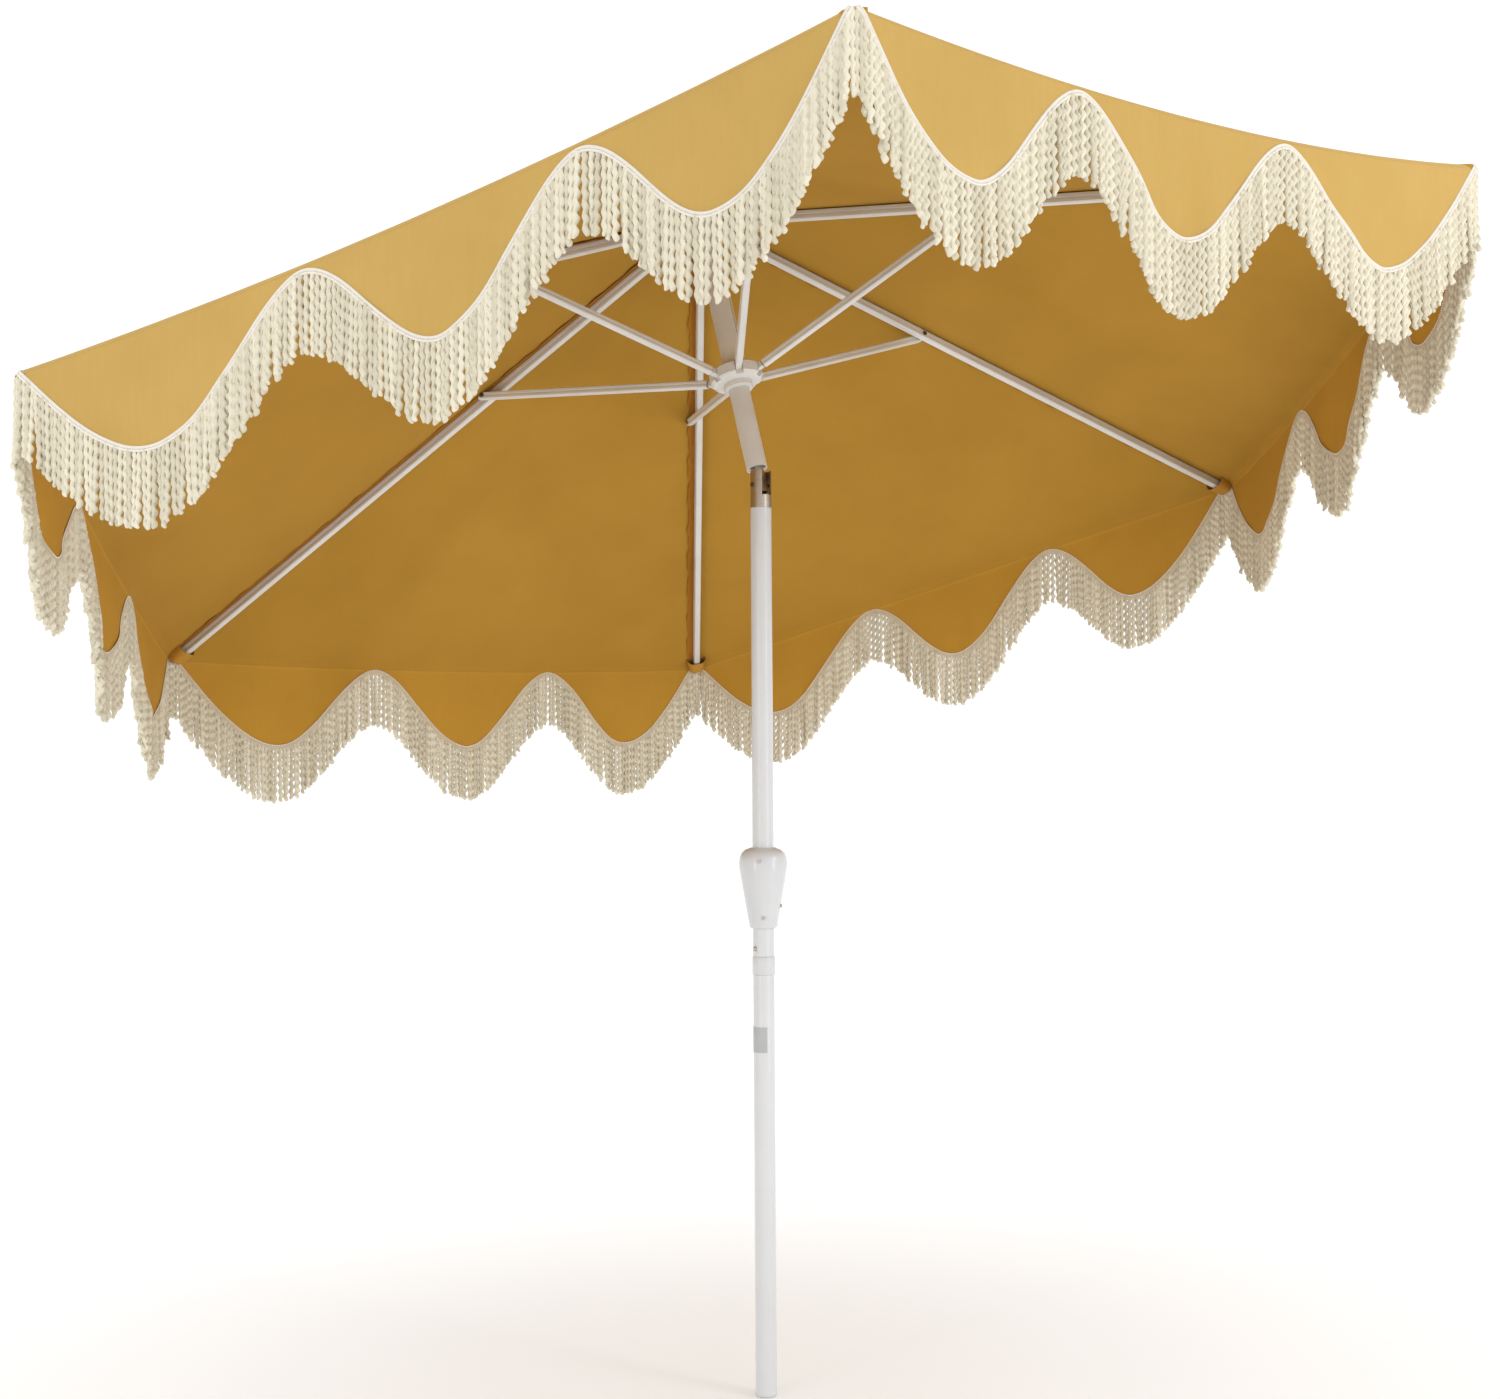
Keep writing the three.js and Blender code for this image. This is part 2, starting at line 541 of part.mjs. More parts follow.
// ---- cloth ----
const canopyToWorld = (point) =>
  point.applyAxisAngle(new THREE.Vector3(1, 0, 0), -TILT).add(new THREE.Vector3(0, 0, PIVOT_HEIGHT));

const seamHeight = (radius) => CROWN_HEIGHT - RIB_FALL * (radius - HINGE_RADIUS) + FABRIC_LIFT;

// Underside of a gore: across goes 0..1 from rib to rib, down goes 0..1 from crown to edge.
function gorePoint(index, across, down, gap) {
  const seamPoint = (corner) => {
    const outerRadius = TIP.radius + CORNER_REACHES[corner % RIB_COUNT];
    const radius = THREE.MathUtils.lerp(GORE_INNER_RADIUS, outerRadius, down);
    return new THREE.Vector3(...polar(corner * RIB_STEP, radius, seamHeight(radius)));
  };
  const [start, end] = [seamPoint(index), seamPoint(index + 1)];
  const inset = end.clone().sub(start).setLength(gap);
  const point = start.add(inset).lerp(end.sub(inset), across);
  point.z -= GORE_SAGS[index] * 4 * across * (1 - across) * down * down;
  return point;
}

// A closed sheet from a grid of points and the offset to its other face.
function sheetSolid(columns, rows, pointAt, offsetAt) {
  const positions = [];
  for (const side of [0, 1]) {
    for (let j = 0; j <= rows; j += 1) {
      for (let i = 0; i <= columns; i += 1) {
        const point = pointAt(i / columns, j / rows);
        if (side) point.add(offsetAt(i / columns, j / rows));
        positions.push(point.x, point.y, point.z);
      }
    }
  }
  const at = (side, i, j) => side * (columns + 1) * (rows + 1) + j * (columns + 1) + i;
  const index = [];
  const quad = (a, b, c, d) => index.push(a, b, c, a, c, d);
  for (let j = 0; j < rows; j += 1) {
    for (let i = 0; i < columns; i += 1) {
      quad(at(0, i, j), at(0, i, j + 1), at(0, i + 1, j + 1), at(0, i + 1, j));
      quad(at(1, i, j), at(1, i + 1, j), at(1, i + 1, j + 1), at(1, i, j + 1));
    }
    quad(at(0, 0, j), at(1, 0, j), at(1, 0, j + 1), at(0, 0, j + 1));
    quad(at(0, columns, j), at(0, columns, j + 1), at(1, columns, j + 1), at(1, columns, j));
  }
  for (let i = 0; i < columns; i += 1) {
    quad(at(0, i, 0), at(0, i + 1, 0), at(1, i + 1, 0), at(1, i, 0));
    quad(at(0, i, rows), at(1, i, rows), at(1, i + 1, rows), at(0, i + 1, rows));
  }
  const geometry = new THREE.BufferGeometry();
  geometry.setAttribute('position', new THREE.Float32BufferAttribute(positions, 3));
  geometry.setIndex(index);
  if (signedVolume(geometry) < 0) geometry.index.array.reverse();
  return geometry;
}

function gore(index) {
  return sheetSolid(8, 4, (across, down) => gorePoint(index, across, down, SEAM_GAP),
    () => new THREE.Vector3(0, 0, FABRIC));
}

// Depth of the scalloped hem below the fold, with arched peaks and broad valleys.
function hemDepth(index, along) {
  const phase = SCALLOPS * (along - HEM_SHIFTS[index] * 4 * along * (1 - along));
  const nearest = Math.round(phase);
  const atCorner = nearest === 0 || nearest === SCALLOPS;
  const [top, power] = atCorner ? [HEM.corner, HEM.cornerPower] : [HEM.peak, HEM.peakPower];
  return top + (HEM.valley - top) * Math.abs(Math.sin((phase - nearest) * Math.PI)) ** power;
}

// The valance hangs plumb from the gore's outer edge; the solid takes in its fringe.
function valance(index) {
  const left = canopyToWorld(gorePoint(index, 0, 1, 0));
  const right = canopyToWorld(gorePoint(index, 1, 1, 0));
  const chord = right.clone().sub(left).setZ(0).normalize();
  const inwards = new THREE.Vector3(-chord.y, chord.x, 0).multiplyScalar(FABRIC);
  const edge = (along) => canopyToWorld(gorePoint(index, along, 1, VALANCE_INSET));
  const pointAt = (along, down) => {
    const point = edge(along);
    point.z -= 0.6 + down * (hemDepth(index, along) + FRINGE_DROP - 0.6);
    return point;
  };
  return sheetSolid(24, 1, pointAt, () => inwards);
}

// ---- assembly ----
const umbrella = new THREE.Group();
umbrella.add(
  piece('foot_plug', footPlug(), plastic),
  piece('lower_pole', lowerPole(), paint),
  piece('coupling_collar', couplingCollar(), plastic),
  piece('middle_pole', middlePole(), paint),
  piece('snap_button', snapButton(), steel),
  piece('snap_spring', snapSpring(), steel),
  piece('label_sticker', labelSticker(), sticker),
  piece('crank_housing_front', housingFront(), plastic),
  piece('crank_housing_back', housingBack(), plastic),
  ...HOUSING_SCREWS.map((screw) => piece(screw.name, housingScrew(screw), steel)),
  piece('winding_shaft', windingShaft(), steel),
  piece('crank_arm', crankArm(), plastic),
  piece('crank_knob', crankKnob(), plastic),
  piece('tilt_sleeve', tiltSleeve(), steel),
  piece('tilt_button', tiltButton(), steel),
  piece('tilt_pivot_pin', tiltPivotPin(), steel),
  piece('lift_cord_lower', lowerCord(), cordFinish),
);

const tilted = new THREE.Group();
tilted.position.z = PIVOT_HEIGHT;
tilted.rotation.x = -TILT;
umbrella.add(tilted);
tilted.add(
  piece('tilt_tongue', tiltTongue(), steel),
  piece('upper_pole', upperPole(), paint),
  piece('crown_hub', crownHub(), plastic),
  piece('crown_wire', wireRing(CROWN_WIRE_RADIUS), steel),
  piece('crown_cap', crownCap(), plastic),
  piece('finial', finial(), plastic),
  piece('pulley', pulleyWheel(), plastic),
  piece('pulley_pin', pulleyPin(), steel),
  piece('lift_cord_inner', innerCord(), cordFinish),
  piece('lift_cord_outer', outerCord(), cordFinish),
  piece('runner_hub', runnerHub(), plastic),
);
ribAzimuths().forEach((azimuth, k) => {
  tilted.add(
    piece(`rib_${k + 1}`, rib(azimuth), paint),
    piece(`strut_rivet_${k + 1}`, strutRivet(azimuth), steel),
    piece(`strut_${k + 1}`, strut(azimuth), paint),
    piece(`gore_${k + 1}`, gore(k), yellowCloth),
  );
  umbrella.add(piece(`valance_${k + 1}`, valance(k), creamTrim));
});

export default umbrella;
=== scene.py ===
"""Market umbrella, open and tilted: sewn cloth, bullion fringe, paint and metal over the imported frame."""
import json
import math

import bmesh
import bpy
import numpy as np
from mathutils import Matrix, Vector


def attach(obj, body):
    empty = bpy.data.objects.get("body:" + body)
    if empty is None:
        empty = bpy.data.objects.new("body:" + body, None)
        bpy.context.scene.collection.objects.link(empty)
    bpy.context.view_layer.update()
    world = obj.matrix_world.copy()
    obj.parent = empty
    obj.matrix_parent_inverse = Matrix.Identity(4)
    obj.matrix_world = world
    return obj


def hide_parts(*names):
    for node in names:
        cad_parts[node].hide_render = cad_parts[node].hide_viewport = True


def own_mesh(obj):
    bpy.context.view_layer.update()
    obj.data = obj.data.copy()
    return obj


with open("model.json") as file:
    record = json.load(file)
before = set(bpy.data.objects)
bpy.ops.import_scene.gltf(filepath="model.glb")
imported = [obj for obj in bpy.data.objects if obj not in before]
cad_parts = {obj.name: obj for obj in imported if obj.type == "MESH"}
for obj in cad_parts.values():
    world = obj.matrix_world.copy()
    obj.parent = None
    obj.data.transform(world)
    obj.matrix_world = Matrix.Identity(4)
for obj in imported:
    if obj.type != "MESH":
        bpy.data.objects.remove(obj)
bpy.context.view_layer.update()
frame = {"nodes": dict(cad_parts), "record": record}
rng = np.random.default_rng(7)

# ---- driving sizes, in metres and radians, as the CAD model has them ----
PIVOT_HEIGHT = 1.631                 # tilt pin above the foot
TILT = math.radians(19.2)
SIDES = 6
SIDE_ANGLE = math.tau / SIDES
HINGE_RADIUS = 0.040
JOINT_RADIUS, JOINT_HEIGHT = 0.502, 0.3636
TIP_RADIUS, TIP_HEIGHT = 1.313, 0.079
RIB_FALL = (JOINT_HEIGHT - TIP_HEIGHT) / (TIP_RADIUS - JOINT_RADIUS)
RIB_SLOPE = math.atan(RIB_FALL)
CROWN_HEIGHT = JOINT_HEIGHT + RIB_FALL * (JOINT_RADIUS - HINGE_RADIUS)
RIB_END = 1.300                      # how far a rib reaches from the mast's axis
RIB_LENGTH = (RIB_END - HINGE_RADIUS) / math.cos(RIB_SLOPE)
CLOTH_LIFT = 0.0132                  # middle of the cloth above the rib's centre line
CLOTH_THICKNESS = 0.0011
GORE_INNER_RADIUS = 0.058
EDGE_SAG = (0.0, 0.014, 0.025, 0.027, 0.046, 0.025)  # at the middle of each side
CORNER_REACHES = (0.0, 0.0, 0.0, 0.027, 0.0, 0.0)    # of the cloth past each rib's corner
CLOTH_FALL_ASIDE = RIB_FALL * math.tan(SIDE_ANGLE / 2.0)
CORNER_INSET = 0.0019                # share of a side left free at each corner
SCALLOPS = 3
CORNER_DEPTH, PEAK_DEPTH, VALLEY_DEPTH = 0.003, 0.016, 0.180
CORNER_POWER, PEAK_POWER = 1.03, 1.74  # how round the hem is at a corner and at a peak
HEM_SHIFTS = (-0.018, -0.02, 0.0, 0.041, -0.049, 0.0)
FOLD_RADIUS = 0.012
FRINGE_LENGTH = 0.113
STRAND_RADIUS = 0.0050
CORKSCREW_RADIUS = 0.0014
STRAND_PITCH = 0.0090
STRAND_TWIST = 0.0165                # length of one turn of a strand's corkscrew
RING_POINTS, RING_COUNT = 8, 46      # points round a strand, and rings down it
BRAID_WIDTH = 0.0095
BRAID_RIB_PITCH = 0.0044
STITCH_PITCH = 0.0046
STITCH_LENGTH, STITCH_WIDTH, STITCH_HEIGHT = 0.0033, 0.0026, 0.0018
PIPING_WIDTH = 0.0086
CORD_WELT_RADIUS = 0.0018
TRIM_THICKNESS = 0.0006              # of the braid and the corner pockets
POCKET_LENGTH = 0.036
POCKET_HALF_WIDTH, POCKET_TAPER = 0.0225, 0.0060
POCKET_DEPTH = 0.0226                # how far a pocket bulges below the cloth
SEAM_START, SEAM_ASIDE, SEAM_WIDTH, SEAM_THICKNESS = 0.05, 0.0050, 0.0150, 0.0007
LOWER_FACE = 1                       # material slot of a sheet's underside

MAST_TURN = np.array(Matrix.Rotation(-TILT, 3, "X"))
MAST_FOOT = np.array((0.0, 0.0, PIVOT_HEIGHT))


# ---- places ----
def from_mast(points):
    """Points of the tilted mast's frame, in the row frame."""
    return points @ MAST_TURN.T + MAST_FOOT


def polar(azimuth, radius, height):
    azimuth, radius, height = np.broadcast_arrays(azimuth, radius, height)
    return np.stack([radius * np.cos(azimuth), radius * np.sin(azimuth), height], axis=-1)


def smooth_step(value, low, high):
    share = np.clip((value - low) / (high - low), 0.0, 1.0)
    return share * share * (3.0 - 2.0 * share)


def gore_wrinkle(side, across, down):
    """Small puckers beside the seams and short folds that fan out from the corners."""
    beside_seam = np.exp(-np.minimum(across, 1.0 - across) * down * TIP_RADIUS / 0.05)
    pucker = 0.0011 * beside_seam * np.sin(math.tau * (down * 17.0 + 0.37 * side))
    near_corner = np.exp(-(1.0 - down) * TIP_RADIUS / 0.16)
    off_the_fold = smooth_step(1.0 - down, 0.0, 0.06)
    fan = 0.0016 * near_corner * off_the_fold * np.sin(math.tau * (across * 9.0 + 0.21 * side + 1.7 * down))
    broad = 0.0030 * down * np.sin(math.tau * (across * 2.0 + 0.31 * side)) * np.sin(math.pi * down)
    held = smooth_step(np.minimum(across, 1.0 - across) * down * TIP_RADIUS, 0.0, 0.03)
    return (pucker * off_the_fold + fan + broad) * held


def seam_points(corner, down):
    """The cloth's seam over a rib, from the crown to the corner, in the mast's frame."""
    outer_radius = TIP_RADIUS + CORNER_REACHES[corner % SIDES]
    radius = GORE_INNER_RADIUS + (outer_radius - GORE_INNER_RADIUS) * down
    height = CROWN_HEIGHT - RIB_FALL * (radius - HINGE_RADIUS) + CLOTH_LIFT
    return polar(corner * SIDE_ANGLE, radius, height)


def gore_points(side, across, down):
    """The middle of the cloth between one rib and the next, in the row frame."""
    across, down = np.broadcast_arrays(across, down)
    start, end = seam_points(side, down), seam_points(side + 1, down)
    points = start + (end - start) * across[..., None]
    points[..., 2] -= EDGE_SAG[side] * 4.0 * across * (1.0 - across) * down * down
    points[..., 2] += gore_wrinkle(side, across, down)
    return from_mast(points)


def turned_in(distance):
    """How far cloth has left its own plane at a distance from the fold, where it turns the corner."""
    return np.maximum(FOLD_RADIUS - distance, 0.0) ** 2 / (2.0 * FOLD_RADIUS)


def hem_depth(side, along):
    """Depth of the scalloped hem below the fold, with arched peaks and broad valleys."""
    phase = SCALLOPS * (along - HEM_SHIFTS[side] * 4.0 * along * (1.0 - along))
    nearest = np.round(phase)
    at_corner = (nearest == 0) | (nearest == SCALLOPS)
    top = np.where(at_corner, CORNER_DEPTH, PEAK_DEPTH)
    power = np.where(at_corner, CORNER_POWER, PEAK_POWER)
    return top + (VALLEY_DEPTH - top) * np.abs(np.sin((phase - nearest) * math.pi)) ** power


def side_directions(side):
    """Horizontal directions along the fold and out of it, in the row frame."""
    left, right = (gore_points(side, share, 1.0) for share in (0.0, 1.0))
    along = (right - left) * (1, 1, 0)
    along /= np.linalg.norm(along)
    return along, np.array((along[1], -along[0], 0.0))


def pleat(side, along, depth):
    """How far the hanging cloth stands out, which grows downwards and is nothing at the corners."""
    waves = 0.0052 * np.sin(math.tau * (5.0 * along + 0.37 * side))
    waves = waves + 0.0030 * np.sin(math.tau * (8.0 * along + 0.61 * side))
    waves = waves + 0.0016 * np.sin(math.tau * (17.0 * along + 0.23 * side))
    return waves * (depth / VALLEY_DEPTH) * np.sqrt(np.abs(np.sin(math.pi * along)))


def valance_points(side, along, depth, proud=0.0):
    """Points of the hanging cloth at a depth below the fold, proud of its middle towards the outside."""
    along, depth = np.broadcast_arrays(along, depth)
    out = side_directions(side)[1]
    points = gore_points(side, CORNER_INSET + along * (1.0 - 2.0 * CORNER_INSET), 1.0)
    points[..., 2] -= depth
    inwards = turned_in(depth) - turned_in(FOLD_RADIUS / 2.0) + 0.0004
    return points + out * (pleat(side, along, depth) + proud - inwards)[..., None]


def hem_line(side, step):
    """The along values of points spaced evenly along the hem's curve."""
    fine = np.linspace(0.0, 1.0, 4001)
    points = valance_points(side, fine, hem_depth(side, fine))
    run = np.concatenate([[0.0], np.cumsum(np.linalg.norm(np.diff(points, axis=0), axis=1))])
    count = max(2, int(round(run[-1] / step)))
    return np.interp(np.linspace(0.0, run[-1], count + 1), run, fine), run[-1]


# ---- meshes ----
def face_outwards(mesh):
    shape = bmesh.new()
    shape.from_mesh(mesh)
    bmesh.ops.recalc_face_normals(shape, faces=shape.faces)
    shape.to_mesh(mesh)
    shape.free()


def new_object(name, vertices, faces, materials, closed=False):
    mesh = bpy.data.meshes.new(name)
    mesh.from_pydata(np.asarray(vertices, float).reshape(-1, 3).tolist(), [], faces)
    for entry in materials:
        mesh.materials.append(entry)
    if closed:
        face_outwards(mesh)
    mesh.shade_smooth()
    mesh.set_sharp_from_angle(angle=math.radians(50.0))
    obj = bpy.data.objects.new(name, mesh)
    bpy.context.scene.collection.objects.link(obj)
    return obj


def grid_faces(rows, columns, wrap=False, first=0):
    """Quads of a grid of points stored row by row; wrap joins the last column to the first."""
    across = columns if wrap else columns - 1
    row, column = np.meshgrid(np.arange(rows - 1), np.arange(across), indexing="ij")
    after = (column + 1) % columns
    corners = [row * columns + column, (row + 1) * columns + column,
               (row + 1) * columns + after, row * columns + after]
    return (np.stack(corners, axis=-1).reshape(-1, 4) + first).tolist()


def set_uv(obj, flat):
    """Stores flat, one (u, v) in metres for each vertex, as the map that the weave follows."""
    layer = obj.data.uv_layers.new(name="Weave")
    corners = np.empty(len(obj.data.loops), np.int32)
    obj.data.loops.foreach_get("vertex_index", corners)
    layer.data.foreach_set("uv", np.asarray(flat, np.float32)[corners].ravel())


def apply_modifiers(obj):
    view = bpy.context.evaluated_depsgraph_get()
    obj.data = bpy.data.meshes.new_from_object(obj.evaluated_get(view))
    obj.modifiers.clear()
    obj.data.set_sharp_from_angle(angle=math.radians(50.0))


def cloth_sheet(name, points, flat, materials, thickness=CLOTH_THICKNESS):
    """A thin closed sheet round a grid of points, its lower face in the second material."""
    rows, columns = points.shape[:2]
    obj = new_object(name, points, grid_faces(rows, columns), materials)
    set_uv(obj, flat.reshape(-1, 2))
    solid = obj.modifiers.new("thickness", "SOLIDIFY")
    solid.thickness = thickness
    solid.offset = 0.0
    solid.material_offset = LOWER_FACE
    apply_modifiers(obj)
    return obj


def swept(name, path, side_axis, up_axis, profile, material, closed_ends=True):
    """A profile of (sideways, upwards) points carried along a path with its two axes at each point."""
    path = np.asarray(path)[:, None, :]
    sideways, upwards = profile[None, :, 0:1], profile[None, :, 1:2]
    points = path + side_axis[:, None, :] * sideways + up_axis[:, None, :] * upwards
    rows, columns = points.shape[:2]
    faces = grid_faces(rows, columns, wrap=True)
    if closed_ends:
        faces.append(list(range(columns)))
        faces.append(list(range(rows * columns - 1, (rows - 1) * columns - 1, -1)))
    return new_object(name, points, faces, [material], closed=True)


# ---- materials ----
class Finish:
    """A node material built up from one Principled shader."""

    def __init__(self, name, roughness, metallic=0.0, **sockets):
        self.material = bpy.data.materials.new(name)
        self.material.use_nodes = True
        self.tree = self.material.node_tree
        self.shader = self.tree.nodes["Principled BSDF"]
        self.height = None
        self.put("Roughness", roughness)
        self.put("Metallic", metallic)
        for socket, value in sockets.items():
            self.put(socket.replace("_", " "), value)

    def put(self, socket, value):
        self.shader.inputs[socket].default_value = value

    def node(self, kind, settings=None, **inputs):
        made = self.tree.nodes.new(kind)
        for key, value in (settings or {}).items():
            setattr(made, key, value)
        for key, value in inputs.items():
            self.feed(made.inputs[key.replace("_", " ")], value)
        return made

    def feed(self, socket, value):
        if isinstance(value, bpy.types.NodeSocket):
            self.tree.links.new(value, socket)
        else:
            socket.default_value = value

    def place(self, output="Object", stretch=(1, 1, 1)):
        """Coordinates in metres: the object's own, or UV for the cloth's weave."""
        source = self.node("ShaderNodeTexCoord")
        mapping = self.node("ShaderNodeMapping", Vector=source.outputs[output])
        mapping.inputs["Scale"].default_value = stretch
        return mapping.outputs["Vector"]

    def noise(self, scale, detail=3.0, place=None):
        made = self.node("ShaderNodeTexNoise", Vector=place or self.place(), Scale=scale, Detail=detail)
        return made.outputs["Fac"]

    def bands(self, scale, direction, place, distortion=0.0):
        made = self.node("ShaderNodeTexWave", {"bands_direction": direction}, Vector=place, Scale=scale)
        made.inputs["Distortion"].default_value = distortion
        return made.outputs["Fac"]

    def colours(self, factor, *stops):
        """Base colour from a ramp of (place, colour) stops."""
        ramp = self.node("ShaderNodeValToRGB", Fac=factor)
        elements = ramp.color_ramp.elements
        while len(elements) < len(stops):
            elements.new(0.5)
        for element, (where, colour) in zip(elements, stops):
            element.position = where
            element.color = (*colour, 1.0)
        self.feed(self.shader.inputs["Base Color"], ramp.outputs["Color"])

    def rough_between(self, factor, low, high):
        spread = self.node("ShaderNodeMapRange", Value=factor)
        spread.inputs["To Min"].default_value = low
        spread.inputs["To Max"].default_value = high
        self.feed(self.shader.inputs["Roughness"], spread.outputs["Result"])

    def math(self, operation, first, second):
        made = self.node("ShaderNodeMath", {"operation": operation})
        self.feed(made.inputs[0], first)
        self.feed(made.inputs[1], second)
        return made.outputs["Value"]

    def bump(self, height, distance, strength=1.0):
        """Adds a bump on top of those before it."""
        made = self.node("ShaderNodeBump", Height=height, Distance=distance, Strength=strength)
        if self.height is not None:
            self.feed(made.inputs["Normal"], self.height)
        self.height = made.outputs["Normal"]
        self.feed(self.shader.inputs["Normal"], self.height)
        return self


def paint_finish(name, dark, light, low=0.22, high=0.4):
    """Powder-coated metal: faint mottling, orange peel and uneven gloss."""
    finish = Finish(name, roughness=0.3)
    finish.colours(finish.noise(9.0, 4.0), (0.3, dark), (0.7, light))
    finish.rough_between(finish.noise(45.0, 3.0), low, high)
    return finish.bump(finish.noise(420.0, 2.0), 0.0002, 0.25).material


def plastic_finish(name, dark, light):
    """Glossy moulded plastic with a very fine grain."""
    finish = Finish(name, roughness=0.25, Coat_Weight=0.25, Coat_Roughness=0.12)
    finish.colours(finish.noise(14.0, 3.0), (0.35, dark), (0.65, light))
    finish.rough_between(finish.noise(60.0, 3.0), 0.2, 0.26)
    return finish.bump(finish.noise(900.0, 1.0), 0.0001, 0.3).material


def steel_finish(name, dark, light, grain=(1, 1, 40)):
    """Bare metal with fine drawn lines and small dull patches."""
    finish = Finish(name, roughness=0.32, metallic=1.0)
    lines = finish.noise(60.0, 4.0, finish.place(stretch=grain))
    finish.colours(lines, (0.3, dark), (0.7, light))
    finish.rough_between(finish.noise(70.0, 4.0), 0.24, 0.46)
    return finish.bump(lines, 0.0001, 0.35).material


def cloth_finish(name, dark, light, sheen):
    """Plain-woven canopy cloth: crossing threads, slubs and slow changes of tone."""
    finish = Finish(name, roughness=0.86, Sheen_Weight=sheen, Sheen_Roughness=0.5, Specular_IOR_Level=0.15)
    weave = finish.place("UV")
    warp = finish.bands(262.0, "X", weave, 0.4)
    weft = finish.bands(230.0, "Y", weave, 0.4)
    threads = finish.math("MULTIPLY", warp, weft)
    slubs = finish.noise(150.0, 4.0, finish.place("UV", (1.0, 0.12, 1.0)))
    tone = finish.math("ADD", finish.math("MULTIPLY", finish.noise(4.0, 5.0), 0.82),
                       finish.math("MULTIPLY", slubs, 0.18))
    finish.colours(tone, (0.32, dark), (0.66, light))
    finish.rough_between(slubs, 0.78, 0.94)
    return finish.bump(threads, 0.0003, 0.5).bump(finish.noise(60.0, 3.0), 0.0006, 0.25).material


def yarn_finish(name, dark, light, scale=520.0):
    """Soft twisted yarn: each strand its own shade, with fine fibres."""
    finish = Finish(name, roughness=0.9, Sheen_Weight=0.1, Sheen_Roughness=0.5, Specular_IOR_Level=0.2)
    strand = finish.node("ShaderNodeNewGeometry").outputs["Random Per Island"]
    tone = finish.math("ADD", finish.math("MULTIPLY", strand, 0.55),
                       finish.math("MULTIPLY", finish.noise(90.0, 3.0), 0.45))
    finish.colours(tone, (0.2, dark), (0.75, light))
    return finish.bump(finish.noise(scale, 3.0), 0.0005, 0.5).material


def braid_finish(name, dark, light):
    """Flat woven trim: tight ribs across it and small variations of tone."""
    finish = Finish(name, roughness=0.92, Sheen_Weight=0.2, Sheen_Roughness=0.5)
    ribs = finish.bands(180.0, "X", finish.place("UV"), 1.2)
    tone = finish.math("ADD", finish.math("MULTIPLY", ribs, 0.45),
                       finish.math("MULTIPLY", finish.noise(120.0, 4.0), 0.55))
    finish.colours(tone, (0.25, dark), (0.7, light))
    return finish.bump(ribs, 0.0005, 0.5).bump(finish.noise(600.0, 2.0), 0.0003, 0.4).material


WHITE_PAINT = paint_finish("White_paint", (0.625, 0.635, 0.645), (0.65, 0.66, 0.67), 0.10, 0.18)
FRAME_PAINT = paint_finish("Frame_paint", (0.62, 0.60, 0.56), (0.70, 0.685, 0.65), 0.3, 0.44)
WHITE_PLASTIC = plastic_finish("White_plastic", (0.60, 0.61, 0.62), (0.62, 0.63, 0.64))
# Bare steel whose base colour is tinted warm brown: a painted reflection of the orange canopy.
STEEL_WITH_PAINTED_REFLECTION = steel_finish("Bare_steel_painted_reflection", (0.40, 0.35, 0.29), (0.58, 0.52, 0.45))
DARK_STEEL = steel_finish("Dark_rivet_steel", (0.10, 0.09, 0.08), (0.22, 0.20, 0.18))
CLOTH_TOP = cloth_finish("Yellow_cloth_outside", (0.485, 0.305, 0.083), (0.55, 0.355, 0.104), 0.05)
# The canopy's underside is the same fabric, painted darker and more saturated: painted shade, with a
# painted glow of light through the cloth.
CLOTH_UNDER_PAINTED_SHADE = cloth_finish("Yellow_cloth_underside_painted_shade", (0.385, 0.200, 0.0245), (0.435, 0.232, 0.031), 0.0)
# The valance's inside is the same fabric, painted as shade on its inner face with a painted glow of light
# shining through the hanging cloth.
VALANCE_INSIDE_PAINTED_GLOW = cloth_finish("Yellow_valance_inside_painted_glow", (0.46, 0.240, 0.029), (0.52, 0.280, 0.037), 0.0)
POCKET_CLOTH = cloth_finish("Pocket_cloth", (0.44, 0.215, 0.03), (0.51, 0.26, 0.042), 0.0)
# The seam allowance is the same fabric painted dark orange: painted shade for the dark line that falls
# beside each rib.
SEAM_SHADE_CLOTH = cloth_finish("Seam_allowance_painted_shade", (0.33, 0.125, 0.010), (0.42, 0.170, 0.018), 0.0)
FRINGE_YARN = yarn_finish("Cream_fringe_yarn", (0.58, 0.53, 0.405), (0.74, 0.69, 0.55))
PIPING_YARN = yarn_finish("Cream_piping_yarn", (0.66, 0.62, 0.55), (0.76, 0.72, 0.65), 900.0)
BRAID = braid_finish("Cream_header_braid", (0.54, 0.46, 0.32), (0.70, 0.61, 0.46))
STITCH = yarn_finish("White_stitching", (0.84, 0.82, 0.76), (0.92, 0.90, 0.86), 900.0)
CORD = yarn_finish("Braided_cord", (0.55, 0.53, 0.48), (0.80, 0.79, 0.75), 1200.0)
LABEL = paint_finish("Blank_silver_label", (0.36, 0.37, 0.38), (0.46, 0.47, 0.48), 0.3, 0.4)


# ---- the CAD nodes that stay ----
def round_shading(node, degrees=32.0):
    """Joins the loaded mesh's split corners in the shading only, so that turned faces look round."""
    mesh = node.data
    if "custom_normal" in mesh.attributes:
        mesh.attributes.remove(mesh.attributes["custom_normal"])
    mesh.shade_smooth()
    weld = node.modifiers.new("weld", "WELD")
    weld.merge_threshold = 0.00001
    split = node.modifiers.new("edges", "EDGE_SPLIT")
    split.split_angle = math.radians(degrees)
    split.use_edge_sharp = False


